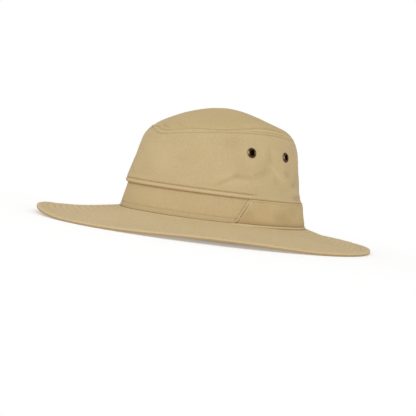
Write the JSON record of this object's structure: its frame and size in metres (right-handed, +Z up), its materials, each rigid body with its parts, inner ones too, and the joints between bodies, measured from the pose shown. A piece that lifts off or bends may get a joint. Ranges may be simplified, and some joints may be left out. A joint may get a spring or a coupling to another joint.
{
  "type": "sun hat",
  "caption": "Soft cotton sun hat with a domed oval crown, vent eyelets, a pocket band round the back and a wide stitched brim.",
  "frame": {"origin": "centre of the brim's outline, on the surface that the hat stands on", "axes": "+Z up through the crown, -Y to the front of the hat, +X to the wearer's left"},
  "size_m": [0.336, 0.3726, 0.1343],
  "materials": {
    "tip_cotton": "matt woven cotton",
    "wall_cotton": "matt woven cotton",
    "brim_cotton": "matt woven cotton, row-stitched",
    "band_cotton": "matt woven cotton",
    "eyelet_brass": "antique brass, darkened"
  },
  "bodies": {
    "root": {"crown_tip": "tip_cotton", "crown_side": "wall_cotton", "brim": "brim_cotton", "side_band": "band_cotton", "eyelet_left_front": "eyelet_brass", "eyelet_left_rear": "eyelet_brass", "eyelet_right_front": "eyelet_brass", "eyelet_right_rear": "eyelet_brass"}
  },
  "joints": []
}
